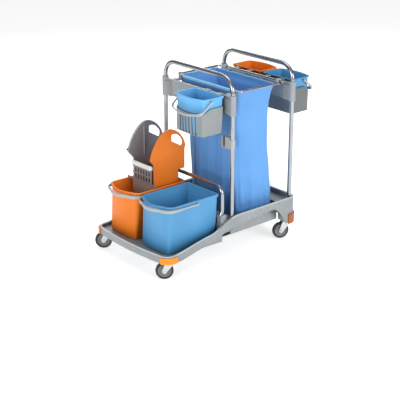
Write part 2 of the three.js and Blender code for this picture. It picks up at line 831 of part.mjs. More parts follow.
// One end wall of the basket: ears for the hinge pin and wings that rest on the bucket's rim.
function basketEnd(x, top) {
  const y0 = jawY - jawThickness / 2 - 6;
  const y1 = backJawY - jawThickness / 2 - clearance;
  const edge = jawY + jawThickness / 2 + 2;
  const wing = [bucketSpacing - bucketWidth / 2 + 2, bucketSpacing + bucketWidth / 2 - 2];
  const seat = rimZ + clearance;
  const shape = shapeOf([
    [y0, hingeZ - 12], [edge + 14, rimZ - basketDepth], [y1, rimZ - basketDepth], [y1, seat],
    [wing[1], seat], [wing[1], seat + 12], [y1, seat + 12], [y1, top],
    [edge, top], [edge, seat + 12], [wing[0], seat + 12], [wing[0], seat], [y0, seat],
  ]);
  return slabYZ(shape, x, x + basketWall);
}

function makeBasket() {
  const [x0, x1] = basketX;
  const y0 = jawY + jawThickness / 2 + 16;
  const y1 = backJawY - jawThickness / 2 - clearance;
  const parts = [
    basketEnd(x0, lipZ - clearance),
    basketEnd(x1 - basketWall, hookTop),
    box(x0, x1, y0, y1, rimZ - basketDepth, rimZ - basketDepth + 4),
  ];
  const tools = [];
  const slots = 7;
  const pitch = (y1 - y0 + 12) / slots;
  for (let i = 0; i < slots; i++) {
    const y = y0 - 6 + pitch * (i + 0.5);
    for (const z of [rimZ + 16, rimZ + 52]) {
      tools.push(box(x0 - 5, x0 + basketWall + 5, y - 6, y + 6, z, z + 27));
    }
  }
  for (let i = 0; i < 5; i++) {
    const y = y0 + 18 + i * 26;
    tools.push(box(x0 + 16, x1 - 16, y - 5, y + 5, rimZ - basketDepth - 5, rimZ - basketDepth + 9));
  }
  tools.push(rodXAxis(pinRadius + clearance, jawY, hingeZ, x0 - 5, x1 + 5, 16));
  return cut(join(...parts), ...tools);
}

// Two hooks on one strip at the basket's back: they hang over the low rail and keep the wringer upright.
function makeRailHooks() {
  const back = basketX[1] + clearance;
  const [middle, half] = [jawY + 90, 38];
  const behind = lowTubeRadius + clearance - lowRailOffset;
  const under = hookTop - hookThickness;
  const parts = [box(back, back + 4, middle - half, middle + half, hookTop - 30, hookTop)];
  for (const y of [middle - half + 8, middle + half - 8]) {
    parts.push(box(back + 1, behind + 4, y - 8, y + 8, under, hookTop));
    parts.push(box(behind, behind + 4, y - 8, y + 8, under - 14, hookTop));
  }
  return join(...parts);
}

function makeLip() {
  const shape = new THREE.Shape();
  const [x, r] = [basketX[0] + basketWall / 2, 9];
  shape.moveTo(x - r, lipZ);
  shape.lineTo(x + r, lipZ);
  shape.lineTo(x + r, lipZ + 13);
  shape.absarc(x, lipZ + 13, r, 0, Math.PI);
  return slabXZ(shape, jawY + jawThickness / 2 + 4, backJawY - jawThickness / 2 - 2, 5);
}

// ---- castors -----------------------------------------------------------------------------

function ringLathe(profile, segments = 20) {
  const ring = new THREE.LatheGeometry(profile.map(([r, y]) => new THREE.Vector2(r, y)), segments);
  return ring;
}

// A tyre about the Y axis, with rounded shoulders.
function makeTyre() {
  const inner = wheelRadius - tyreThickness;
  const half = tyreWidth / 2;
  return ringLathe([
    [inner, -half + 3], [inner + 5, -half], [wheelRadius - 5, -half], [wheelRadius, -half + 6],
    [wheelRadius, half - 6], [wheelRadius - 5, half], [inner + 5, half], [inner, half - 3],
    [inner, -half + 3],
  ]);
}

// A wheel core about the Y axis: rim, dished web and hub round the axle.
function makeHub() {
  const outer = wheelRadius - tyreThickness - clearance;
  const half = tyreWidth / 2;
  const bore = axleDiameter / 2 + clearance;
  return ringLathe([
    [bore, -hubWidth / 2], [13, -hubWidth / 2], [13, -4], [outer - 5, -4], [outer - 5, -half + 3],
    [outer, -half + 3], [outer, half - 3], [outer - 5, half - 3], [outer - 5, 4], [13, 4],
    [13, hubWidth / 2], [bore, hubWidth / 2], [bore, -hubWidth / 2],
  ]);
}

// A swivel fork whose wheel trails along -X; the swivel axis is x = y = 0.
function makeFork() {
  const inner = hubWidth / 2 + 1;
  const shape = new THREE.Shape();
  shape.moveTo(-22, crownTop);
  shape.lineTo(-castorTrail - 13, wheelRadius + 5);
  shape.absarc(-castorTrail, wheelRadius, 13, Math.PI * 0.9, Math.PI * 1.95);
  shape.lineTo(18, crownTop - 16);
  shape.lineTo(20, crownTop);
  const legs = [-1, 1].map((side) => {
    const [a, b] = side > 0 ? [inner, inner + forkThickness] : [-inner - forkThickness, -inner];
    return slabXZ(shape, a, b, 3);
  });
  const crown = rodZAxis(21, 0, 0, crownBottom, crownTop, 16);
  const race = rodZAxis(16, 0, 0, crownTop - 1, crownTop + swivelHeight, 16);
  return cut(
    join(crown, race, ...legs),
    rodYAxis(axleDiameter / 2 + clearance, -castorTrail, wheelRadius, -40, 40, 12),
  );
}

// A bolt through the fork and the hub, with a head and a nut outside the fork.
function makeAxle() {
  const half = hubWidth / 2 + 1 + forkThickness + clearance;
  return join(
    rodYAxis(axleDiameter / 2, 0, 0, -half - 2, half + 2, 12),
    rodYAxis(6.5, 0, 0, half, half + 4.5, 6),
    rodYAxis(6.5, 0, 0, -half - 4.5, -half, 6),
  );
}

function makeCastorPlate() {
  const half = castorPlateSize / 2;
  return join(
    box(-half, half, -half, half, plateBottom, plateTop),
    cut(
      rodZAxis(20, 0, 0, crownTop + clearance, plateBottom + 1, 16),
      rodZAxis(16 + 2 * clearance, 0, 0, crownTop - 5, plateBottom, 16),
    ),
  );
}

// ---- bag ---------------------------------------------------------------------------------

// One level of the bag: a rounded rectangle between x[0]..x[1] and y[0]..y[1], drawn in by `inset`.
function bagRing({ x, y, radius = 26 }, inset, z, steps = 3) {
  const r = radius - inset / 2;
  const ring = [];
  const corners = [[1, -1, -90], [1, 1, 0], [-1, 1, 90], [-1, -1, 180]];
  for (const [sx, sy, from] of corners) {
    const cx = sx > 0 ? x[1] - inset - r : x[0] + inset + r;
    const cy = sy > 0 ? y[1] - inset - r : y[0] + inset + r;
    for (let i = 0; i <= steps; i++) {
      const a = (from + 90 * i / steps) * Math.PI / 180;
      ring.push(vec(cx + r * Math.cos(a), cy + r * Math.sin(a), z));
    }
  }
  return ring;
}

// A hung bag: wide at its mouth between the rods, drawn in on the left, standing in the tray's well.
function makeBag() {
  const x0 = frontRodX + clipReach + 1;
  const side = rodY - rodRadius - 8;
  const mouth = { x: [x0, x0 + bagLength], y: [-side, side] };
  const shoulder = { x: [x0 + 2, mouth.x[1] - bagSpread], y: [3 - side, side - bagNarrow + 20] };
  const waist = { x: [x0 + 2, mouth.x[1] - bagSpread - 4], y: [5 - side, side - bagNarrow - 2] };
  const foot = { x: [x0 + 20, mouth.x[1] + 12], y: [7 - side, side - bagNarrow] };
  const base = wellFloor + clearance;
  const top = rodZ - rodRadius;
  const levels = [
    [foot, 20, base],
    [foot, 2, base + 28],
    [waist, 0, (base + top) / 2],
    [shoulder, 0, top - 130],
    [mouth, 0, top],
  ];
  const outer = levels.map(([shape, inset, z]) => bagRing(shape, inset, z));
  const inner = levels.map(([shape, inset, z], i) => bagRing(shape, inset + bagWall, i ? z : z + bagWall));
  return loft([...outer, ...inner.reverse()]);
}

// ---- assembly ----------------------------------------------------------------------------

const cart = new THREE.Group();

function add(parent, name, geometry, material) {
  const mesh = new THREE.Mesh(toGeometry(toSolid(geometry)), material);
  mesh.name = name;
  parent.add(mesh);
  return mesh;
}

function addBase() {
  add(cart, 'tray_base', makeTray(), finishes.trayGrey());
  for (const [end, front] of [['front', true], ['rear', false]]) {
    for (const [hand, side] of [['right', -1], ['left', 1]]) {
      add(cart, `bumper_${end}_${hand}`, makeBumper(front, side), finishes.amber());
    }
  }
}

function addFrames() {
  add(cart, 'front_frame', makeFrame(0), finishes.chrome());
  add(cart, 'rear_frame', makeFrame(frameSpacing), finishes.chrome());
  add(cart, 'low_rail', lowRailTube(lowTubeRadius), finishes.chrome());
  add(cart, 'front_cross_rail', makeCrossRail(0), finishes.holderGrey());
  add(cart, 'rear_cross_rail', makeCrossRail(frameSpacing), finishes.holderGrey());
  add(cart, 'handle_clip', makeHandleClip(), finishes.holderGrey());
  add(cart, 'handle_clip_grip', makeHandleClipGrip(), finishes.tyre());
}

function addBagHolder() {
  const frontEnd = frontRodX + rodRadius + rodSideEnd;
  const rearEnd = rearRodX - rodRadius - rodSideEnd;
  add(cart, 'bag_rod_front', makeBagRod(frontRodX, rearEnd, -1), finishes.chrome());
  add(cart, 'bag_rod_rear', makeBagRod(rearRodX, frontEnd, 1), finishes.chrome());
  add(cart, 'bag_rod_cap_right', makeRodCap(rearEnd, -rodY, 1), finishes.darkGrey());
  add(cart, 'bag_rod_cap_left', makeRodCap(frontEnd, rodY, -1), finishes.darkGrey());
  for (const [end, railX, rodX] of [['front', 0, frontRodX], ['rear', frameSpacing, rearRodX]]) {
    for (const [hand, side] of [['right', -1], ['left', 1]]) {
      const clip = makeRodClip(railX, rodX, side * clipY);
      add(cart, `bag_rod_clip_${end}_${hand}`, clip, finishes.holderGrey());
    }
  }
  add(cart, 'bag', makeBag(), finishes.fabric());
}

function addCastors() {
  const swivels = {
    front_right: [castorX[0], -castorY, -37],
    front_left: [castorX[0], castorY, -37],
    rear_right: [castorX[1], -castorY, -24],
    rear_left: [castorX[1], castorY, -55],
  };
  for (const [name, [x, y, degrees]] of Object.entries(swivels)) {
    const castor = new THREE.Group();
    castor.position.set(x, y, 0);
    cart.add(castor);
    add(castor, `castor_plate_${name}`, makeCastorPlate(), finishes.chrome());
    const swivel = new THREE.Group();
    swivel.rotation.z = degrees * Math.PI / 180;
    castor.add(swivel);
    add(swivel, `castor_fork_${name}`, makeFork(), finishes.chrome());
    const wheel = new THREE.Group();
    wheel.position.set(-castorTrail, 0, wheelRadius);
    swivel.add(wheel);
    add(wheel, `castor_axle_${name}`, makeAxle(), finishes.chrome());
    add(wheel, `wheel_hub_${name}`, makeHub(), finishes.holderGrey());
    add(wheel, `wheel_tyre_${name}`, makeTyre(), finishes.tyre());
  }
}

function addBail(parent, name, size, degrees) {
  const bail = add(parent, name, makeBail(size), finishes.holderGrey());
  bail.position.set(size.pivotX, 0, size.height - size.pivotDrop);
  bail.rotation.y = degrees * Math.PI / 180;
}

function addLargeBuckets() {
  for (const [name, side] of [['orange', 1], ['blue', -1]]) {
    const place = new THREE.Group();
    place.position.set(bucketCentre, side * bucketSpacing, frontFloor + clearance);
    cart.add(place);
    add(place, `bucket_${name}`, makeBucket(largeBucket), finishes[name]());
    addBail(place, `bucket_bail_${name}`, largeBucket, 0);
  }
}

function addWringer() {
  add(cart, 'wringer_basket', makeBasket(), finishes.darkGrey());
  add(cart, 'wringer_back_jaw', makeBackJaw(), finishes.darkGrey());
  add(cart, 'wringer_lever_jaw', makeLever(), finishes.orange());
  const pin = rodXAxis(pinRadius, jawY, hingeZ, basketX[0] - 2, basketX[1] + 2, 16);
  add(cart, 'wringer_hinge_pin', pin, finishes.chrome());
  add(cart, 'wringer_lip', makeLip(), finishes.white());
  add(cart, 'wringer_rail_hooks', makeRailHooks(), finishes.darkGrey());
}

function addSmallBuckets() {
  const face = railThickness / 2;
  const pairY = smallWidth / 2 + smallBailRadius * 2 + 2;
  const places = {
    front: [-face, -pairY - 4, 0, 'blue'],
    rear_right: [frameSpacing + face, -pairY, 180, 'blue'],
    rear_left: [frameSpacing + face, pairY, 180, 'orange'],
  };
  for (const [name, [x, y, degrees, colour]] of Object.entries(places)) {
    const place = new THREE.Group();
    place.position.set(x, y, 0);
    place.rotation.z = degrees * Math.PI / 180;
    cart.add(place);
    add(place, `holder_${name}`, makeHolder(), finishes.holderGrey());
    const bucket = new THREE.Group();
    bucket.position.set(smallCentreX, 0, smallBase);
    place.add(bucket);
    add(bucket, `small_bucket_${name}`, makeBucket(smallBucket), finishes[colour]());
    addBail(bucket, `small_bail_${name}`, smallBucket, -38);
  }
}

addBase();
addFrames();
addBagHolder();
addCastors();
addLargeBuckets();
addWringer();
addSmallBuckets();

// The origin is on the floor, in the middle of the whole cart's box.
cart.updateMatrixWorld(true);
const extent = new THREE.Box3().setFromObject(cart, true);
const middle = extent.getCenter(new THREE.Vector3());
cart.position.set(-middle.x, -middle.y, -extent.min.z);

export default cart;
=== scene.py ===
# Two-bucket cleaning cart with a hung bag. Metres, +Z up, large buckets towards -X, floor at Z = 0.
import math
import bpy
from mathutils import Matrix, Vector, noise


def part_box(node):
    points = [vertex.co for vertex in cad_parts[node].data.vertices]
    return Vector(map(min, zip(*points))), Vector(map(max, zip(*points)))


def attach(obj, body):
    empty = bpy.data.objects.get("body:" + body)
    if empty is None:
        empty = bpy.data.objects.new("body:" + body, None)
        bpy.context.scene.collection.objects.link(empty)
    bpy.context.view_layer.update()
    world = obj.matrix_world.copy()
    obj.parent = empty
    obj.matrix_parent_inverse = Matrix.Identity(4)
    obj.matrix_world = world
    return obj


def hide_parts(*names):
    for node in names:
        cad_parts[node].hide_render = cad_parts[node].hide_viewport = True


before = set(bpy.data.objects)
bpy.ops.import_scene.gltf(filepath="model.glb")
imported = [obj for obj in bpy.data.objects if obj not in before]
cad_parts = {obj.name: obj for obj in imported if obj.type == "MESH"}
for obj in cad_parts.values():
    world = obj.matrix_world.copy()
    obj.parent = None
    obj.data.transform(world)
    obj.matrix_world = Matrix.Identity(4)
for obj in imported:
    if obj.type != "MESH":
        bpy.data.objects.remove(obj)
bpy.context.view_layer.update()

# lengths below are millimetres on the cart: x from the front frame, y from the middle line, z from the floor
low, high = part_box("front_frame")
cartZero = Vector(((low.x + high.x) / 2, (low.y + high.y) / 2, 0))
mm = 0.001


def onCart(x, y, z):
    return cartZero + Vector((x, y, z)) * mm


# ---- camera, light, floor

camera = {"eye": (-3620.4, -4208.7, 2396.5), "turn": 49.193, "tilt": 21.084, "lens": 94.97, "sensor": 36,
          "farthest": 60}


def placeCamera():
    eye = bpy.data.cameras.new("camera")
    eye.lens = camera["lens"]
    eye.sensor_width = camera["sensor"]
    eye.clip_end = camera["farthest"]
    body = bpy.data.objects.new("camera", eye)
    body.location = onCart(*camera["eye"])
    body.rotation_euler = (math.radians(90 - camera["tilt"]), 0, math.radians(camera["turn"] - 90))
    bpy.context.scene.collection.objects.link(body)
    bpy.context.scene.camera = body


lamps = {
    # name: place in metres, size, watts, looks at
    "softboxFrontRight": ((0.6, -4.6, 2.0), (2.6, 2.0), 104, (0, 0, 0.5)),
    "softboxFrontLeft": ((-4.7, -1.4, 1.7), (2.0, 1.8), 92, (0, 0, 0.45)),
    "topSoftbox": ((0.3, 0.3, 4.4), (3.4, 3.2), 62, (0, 0, 0.3)),
    "backStrip": ((2.6, 4.0, 2.6), (2.4, 1.0), 42, (0, 0, 0.6)),
}


def placeLamps():
    for name, (place, (wide, tall), watts, aim) in lamps.items():
        light = bpy.data.lights.new(name, "AREA")
        light.shape = "RECTANGLE"
        light.size, light.size_y = wide, tall
        light.energy = watts
        lamp = bpy.data.objects.new(name, light)
        lamp.location = place
        lamp.rotation_euler = (Vector(aim) - Vector(place)).to_track_quat("-Z", "Y").to_euler()
        bpy.context.scene.collection.objects.link(lamp)


# ---- shader nodes


def hexColour(text):  # sRGB hex to linear
    parts = [int(text[i:i + 2], 16) / 255 for i in (1, 3, 5)]
    return [c / 12.92 if c <= 0.04045 else ((c + 0.055) / 1.055) ** 2.4 for c in parts] + [1]


def addNode(tree, kind, inputs=None, **settings):
    made = tree.nodes.new(kind)
    for key, value in settings.items():
        setattr(made, key, value)
    for key, value in (inputs or {}).items():
        if isinstance(value, bpy.types.NodeSocket):
            tree.links.new(value, made.inputs[key])
        else:
            made.inputs[key].default_value = value
    return made


def newMaterial(name):
    made = bpy.data.materials.new(name)
    made.use_nodes = True
    made.node_tree.nodes.clear()
    tree = made.node_tree
    place = addNode(tree, "ShaderNodeTexCoord").outputs["Object"]
    return made, tree, place


def finishMaterial(made, tree, shader):
    addNode(tree, "ShaderNodeOutputMaterial", {"Surface": shader.outputs[0]})
    made.diffuse_color = shader.inputs["Base Color"].default_value
    return made


def colourDrift(tree, place, colour, size, amount, darker=0.82, lighter=1.1):
    # slow change of tone across a moulding or cloth, patches of about `size` metres
    patches = addNode(tree, "ShaderNodeTexNoise", {
        "Vector": place, "Scale": 1 / size, "Detail": 4.0, "Roughness": 0.55})
    spread = addNode(tree, "ShaderNodeValToRGB", {"Fac": patches.outputs["Fac"]})
    base = hexColour(colour)
    low, high = spread.color_ramp.elements
    low.position, high.position = 0.3, 0.7
    low.color = [c * (1 + (darker - 1) * amount) for c in base[:3]] + [1]
    high.color = [min(1, c * (1 + (lighter - 1) * amount)) for c in base[:3]] + [1]
    return spread.outputs["Color"]


def mouldedPlastic(name, colour, rough, grain, wearAndHighlight, cornerShade):
    # injection-moulded polypropylene: even colour, spark-eroded grain, paler scuffs on handled edges,
    # painted shade that darkens the colour down in corners and hollows
    made, tree, place = newMaterial(name)
    driftSize, scuffSize, mottleSize, cornerReach = 0.16, 0.012, 0.03, 0.16
    tone = colourDrift(tree, place, colour, driftSize, 0.5)
    edge = addNode(tree, "ShaderNodeNewGeometry").outputs["Pointiness"]
    edgeBand = addNode(tree, "ShaderNodeMapRange", {"Value": edge, "From Min": 0.52, "From Max": 0.62})
    scuffs = addNode(tree, "ShaderNodeTexNoise", {
        "Vector": place, "Scale": 1 / scuffSize, "Detail": 6.0, "Roughness": 0.7})
    scuffBand = addNode(tree, "ShaderNodeMapRange", {
        "Value": scuffs.outputs["Fac"], "From Min": 0.45, "From Max": 0.7})
    # paler edges: real scuff wear, and on the fixed jaw at full strength a painted highlight along its rounded
    # rim
    wearAndHighlightMask = addNode(tree, "ShaderNodeMath", {0: edgeBand.outputs[0], 1: scuffBand.outputs[0]},
                   operation="MULTIPLY")
    wearAndHighlightShare = addNode(tree, "ShaderNodeMath", {0: wearAndHighlightMask.outputs[0], 1: wearAndHighlight}, operation="MULTIPLY")
    pale = [min(1, c * 1.25 + 0.06) for c in hexColour(colour)[:3]] + [1]
    mixed = addNode(tree, "ShaderNodeMix", {0: wearAndHighlightShare.outputs[0], 6: tone, 7: pale}, data_type="RGBA")
    # painted shade: ambient occlusion darkens the colour in corners and hollows, where shade falls
    openness = addNode(tree, "ShaderNodeAmbientOcclusion", {"Distance": cornerReach}, samples=8).outputs["AO"]
    unshadedShare = addNode(tree, "ShaderNodeMapRange", {
        "Value": openness, "From Min": 0.12, "From Max": 0.62, "To Min": 1 - cornerShade})
    shadedColour = addNode(tree, "ShaderNodeVectorMath", {0: mixed.outputs[2], "Scale": unshadedShare.outputs[0]},
                     operation="SCALE")
    mottle = addNode(tree, "ShaderNodeTexNoise", {
        "Vector": place, "Scale": 1 / mottleSize, "Detail": 5.0, "Roughness": 0.6})
    gloss = addNode(tree, "ShaderNodeMapRange", {
        "Value": mottle.outputs["Fac"], "From Min": 0.3, "From Max": 0.7,
        "To Min": rough - 0.05, "To Max": rough + 0.07})
    pits = addNode(tree, "ShaderNodeTexNoise", {
        "Vector": place, "Scale": 1 / grain, "Detail": 3.0, "Roughness": 0.6})
    relief = addNode(tree, "ShaderNodeBump", {
        "Height": pits.outputs["Fac"], "Strength": 0.12, "Distance": 0.0006})
    shader = addNode(tree, "ShaderNodeBsdfPrincipled", {
        "Base Color": shadedColour.outputs[0], "Roughness": gloss.outputs[0], "IOR": 1.49,
        "Normal": relief.outputs[0]})
    return finishMaterial(made, tree, shader)


def chromePlate(name, colour, rough):
    # bright plate over drawn tube: mirror finish with faint drawing lines and thumb haze
    made, tree, place = newMaterial(name)
    hazeSize, lineSize, driftSize = 0.05, 0.004, 0.08
    haze = addNode(tree, "ShaderNodeTexNoise", {
        "Vector": place, "Scale": 1 / hazeSize, "Detail": 5.0, "Roughness": 0.65})
    gloss = addNode(tree, "ShaderNodeMapRange", {
        "Value": haze.outputs["Fac"], "From Min": 0.35, "From Max": 0.75,
        "To Min": rough, "To Max": rough + 0.1})
    lines = addNode(tree, "ShaderNodeTexNoise", {"Vector": place, "Scale": 1 / lineSize, "Detail": 3.0})
    relief = addNode(tree, "ShaderNodeBump", {
        "Height": lines.outputs["Fac"], "Strength": 0.05, "Distance": 0.0004})
    tone = colourDrift(tree, place, colour, driftSize, 0.35)
    shader = addNode(tree, "ShaderNodeBsdfPrincipled", {
        "Base Color": tone, "Metallic": 1.0, "Roughness": gloss.outputs[0], "Normal": relief.outputs[0]})
    return finishMaterial(made, tree, shader)


def mouldedRubber(name, colour, rough):
    # filled rubber: almost black, dull, dusty where it meets the floor
    made, tree, place = newMaterial(name)
    dustSize, dustColour = 0.01, "#4a4846"
    dust = addNode(tree, "ShaderNodeTexNoise", {
        "Vector": place, "Scale": 1 / dustSize, "Detail": 6.0, "Roughness": 0.7})
    tone = addNode(tree, "ShaderNodeValToRGB", {"Fac": dust.outputs["Fac"]})
    low, high = tone.color_ramp.elements
    low.position, high.position = 0.4, 0.85
    low.color = hexColour(colour)
    high.color = hexColour(dustColour)
    relief = addNode(tree, "ShaderNodeBump", {
        "Height": dust.outputs["Fac"], "Strength": 0.2, "Distance": 0.0008})
    shader = addNode(tree, "ShaderNodeBsdfPrincipled", {
        "Base Color": tone.outputs[0], "Roughness": rough, "IOR": 1.52, "Normal": relief.outputs[0]})
    return finishMaterial(made, tree, shader)


def coatedCloth(name, colour, thread):
    # plain-woven polyester with a thin coating: fine cross threads, soft sheen, slight crease marks
    made, tree, place = newMaterial(name)
    driftSize, creaseSize = 0.22, 0.06
    tone = colourDrift(tree, place, colour, driftSize, 0.7, darker=0.9, lighter=1.06)
    heights = []
    for along in ("X", "Y", "Z"):  # threads run round the bag and down it
        wave = addNode(tree, "ShaderNodeTexWave", {
            "Vector": place, "Scale": 0.5 / thread / 3.14159, "Distortion": 1.2, "Detail": 2.0,
            "Detail Scale": 3.0}, wave_type="BANDS", bands_direction=along)
        heights.append(wave.outputs["Fac"])
    warp = addNode(tree, "ShaderNodeMath", {0: heights[0], 1: heights[1]}, operation="MAXIMUM")
    weave = addNode(tree, "ShaderNodeMath", {0: warp.outputs[0], 1: heights[2]}, operation="ADD")
    threads = addNode(tree, "ShaderNodeBump", {
        "Height": weave.outputs[0], "Strength": 0.16, "Distance": 0.0006})
    crease = addNode(tree, "ShaderNodeTexNoise", {
        "Vector": place, "Scale": 1 / creaseSize, "Detail": 5.0, "Roughness": 0.6})
    relief = addNode(tree, "ShaderNodeBump", {
        "Height": crease.outputs["Fac"], "Normal": threads.outputs[0], "Strength": 0.22, "Distance": 0.004})
    shader = addNode(tree, "ShaderNodeBsdfPrincipled", {
        "Base Color": tone, "Roughness": 0.62, "IOR": 1.5, "Sheen Weight": 0.25, "Sheen Roughness": 0.45,
        "Normal": relief.outputs[0]})
    return finishMaterial(made, tree, shader)


# a grain of 1.5 to 2 mm and threads of 2 to 2.6 mm are coarser than the real ones, so that they show
plastics = {  # hex, roughness, grain, wear on edges and painted edge highlight, painted shade in corners
    "trayPolypropylene": ("#8e9396", 0.42, 0.0018, 0.7, 0.72),
    # the tray rim's paler grey is a painted highlight
    "trayRimPolypropylene": ("#c3c8ca", 0.36, 0.0018, 0.7, 0.3),
    "lightGreyPolypropylene": ("#a9aeb0", 0.4, 0.0015, 0.25, 0.45),
    "hubPolypropylene": ("#85888a", 0.4, 0.0015, 0.25, 0.45),
    "railPolypropylene": ("#999ea1", 0.42, 0.0015, 0.25, 0.45),
    "holderPolypropylene": ("#8f9597", 0.42, 0.0015, 0.25, 0.45),
    # the rear holders are a darker copy of the holder grey: painted shade
    "rearHolderPolypropylene": ("#6d7275", 0.42, 0.0015, 0.25, 0.45),
    "darkGreyPolypropylene": ("#86817e", 0.45, 0.0015, 0.6, 0.35),
    # the fixed jaw's pale edges at full strength are a painted highlight along its rim
    "midGreyPolypropylene": ("#858588", 0.42, 0.0015, 1.0, 0.45),
    "orangePolypropylene": ("#f07c0c", 0.5, 0.002, 0.25, 0.5),
    "bluePolypropylene": ("#4f97c9", 0.4, 0.002, 0.25, 0.55),
    "paleBluePolypropylene": ("#68b6ec", 0.4, 0.002, 0.25, 0.6),
    "amberBumper": ("#ec8f0a", 0.5, 0.0015, 0.25, 0.45),
    "orangeBumper": ("#a95a2c", 0.5, 0.0015, 0.25, 0.45),
    # near white as a painted highlight on the wringer basket's top ledge
    "whiteAbs": ("#ececea", 0.35, 0.0015, 0.0, 0.45),
}
plates = {  # hex, roughness
    "chromedTube": ("#a6aaae", 0.15),
    "zincPlatedSteel": ("#c9cccf", 0.26),
}
rubbers = {  # hex, roughness
    "tyreRubber": ("#1e1e1f", 0.72),
    "clipRubber": ("#1b1b1c", 0.6),
}
cloths = {  # hex, thread spacing
    "bagCloth": ("#5f9fe2", 0.0026),
    "hemTape": ("#8ccbf5", 0.002),
}
finishes = {}
for makeFinish, family in ((mouldedPlastic, plastics), (chromePlate, plates), (mouldedRubber, rubbers),
                           (coatedCloth, cloths)):
    for name, settings in family.items():
        finishes[name] = makeFinish(name, *settings)
print("materials made")

# ---- shaping


def showPiece(name, points, faces, material, body, stands=(), slot=None, keenEdge=38):
    mesh = bpy.data.meshes.new(name)
    mesh.from_pydata([onCart(*p) for p in points], [], faces)
    mesh.validate()
    mesh.materials.append(finishes[material])
    mesh.polygons.foreach_set("use_smooth", [True] * len(mesh.polygons))
    mesh.set_sharp_from_angle(angle=math.radians(keenEdge))
    piece = bpy.data.objects.new(name, mesh)
    bpy.context.scene.collection.objects.link(piece)
    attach(piece, body)
    if stands:
        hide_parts(*stands)
    return piece


def together(*parts):  # several (points, faces) as one
    points, faces = [], []
    for morePoints, moreFaces in parts:
        faces += [tuple(i + len(points) for i in face) for face in moreFaces]
        points += list(morePoints)
    return points, faces


def skin(rings, capStart=True, capEnd=True):
    count = len(rings[0])
    points = [tuple(p) for ring in rings for p in ring]
    faces = []
    for i in range(len(rings) - 1):
        for j in range(count):
            a, b = i * count + j, i * count + (j + 1) % count
            faces.append((a, b, b + count, a + count))
    if capStart:
        faces.append(tuple(reversed(range(count))))
    if capEnd:
        faces.append(tuple(range((len(rings) - 1) * count, len(rings) * count)))
    return points, faces


def roundSection(radius, sides=20):
    angles = [2 * math.pi * i / sides for i in range(sides)]
    return [(radius * math.cos(a), radius * math.sin(a)) for a in angles]


def softBar(wide, tall, corner, steps=4):  # rounded rectangle section
    made = []
    for cx, cy, start in ((1, 1, 0), (-1, 1, 90), (-1, -1, 180), (1, -1, 270)):
        for i in range(steps + 1):
            a = math.radians(start + 90 * i / steps)
            made.append((cx * (wide / 2 - corner) + corner * math.cos(a),
                         cy * (tall / 2 - corner) + corner * math.sin(a)))
    return made


def sweep(path, section, side, closed=False, grow=None, caps=True):
    # section (u along side, v across it) carried along a path of points; grow(share) gives (u, v) factors
    path = [Vector(p) for p in path]
    rings = []
    count = len(path)
    for i, here in enumerate(path):
        before = path[i - 1] if (i or closed) else here
        after = path[(i + 1) % count] if (i + 1 < count or closed) else here
        ahead = (after - before).normalized()
        across = Vector(side) - ahead * ahead.dot(Vector(side))
        across.normalize()
        other = ahead.cross(across)
        su, sv = grow(i / (count - 1)) if grow else (1, 1)
        rings.append([here + across * (u * su) + other * (v * sv) for u, v in section])
    if closed:
        rings.append(rings[0])
    return skin(rings, capStart=caps and not closed, capEnd=caps and not closed)


def arc(centre, radius, start, end, steps=10):  # start and end are unit vectors from the centre
    start, end = Vector(start), Vector(end)
    angle = start.angle(end)
    side = (end - start * start.dot(end)).normalized()
    return [Vector(centre) + (start * math.cos(angle * i / steps) + side * math.sin(angle * i / steps)) * radius
            for i in range(steps + 1)]


def turned(profile, centre, axis, sides=48):  # profile of (along, radius) turned about an axis
    axis = Vector(axis).normalized()
    first = axis.orthogonal().normalized()
    second = axis.cross(first)
    rings = []
    for along, radius in profile:
        rings.append([Vector(centre) + axis * along + (first * math.cos(2 * math.pi * i / sides)
                      + second * math.sin(2 * math.pi * i / sides)) * radius for i in range(sides)])
    return skin(rings)


def turnedRing(profile, centre, axis, sides=48):  # the same for a profile that closes on itself
    points, faces = turned(list(profile) + [profile[0]], centre, axis, sides)
    return points, faces[:-2]


def dressNode(name, material, edge=0.0, steps=2, angle=28):
    # a CAD node that keeps its shape gets its finish, and softened edges where it is sharp
    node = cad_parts[name]
    node.data.materials.clear()
    node.data.materials.append(finishes[material])
    node.data.polygons.foreach_set("use_smooth", [True] * len(node.data.polygons))
    weld = node.modifiers.new("weld", "WELD")
    weld.merge_threshold = 0.00002
    if edge:
        soften = node.modifiers.new("soften", "BEVEL")
        soften.width = edge * mm
        soften.segments = steps
        soften.limit_method = "ANGLE"
        soften.angle_limit = math.radians(angle)
        soften.use_clamp_overlap = True
        soften.miter_outer = "MITER_ARC"
    even = node.modifiers.new("even", "WEIGHTED_NORMAL")
    even.keep_sharp = False
    even.weight = 60
    return node


# ---- tray and bumpers

trayEdge, bumperEdge = 2.2, 2.5
dressNode("tray_base", "trayPolypropylene", trayEdge)
for end, finish in (("front", "amberBumper"), ("rear", "orangeBumper")):
    for side in ("right", "left"):
        dressNode("bumper_" + end + "_" + side, finish, bumperEdge, 3)


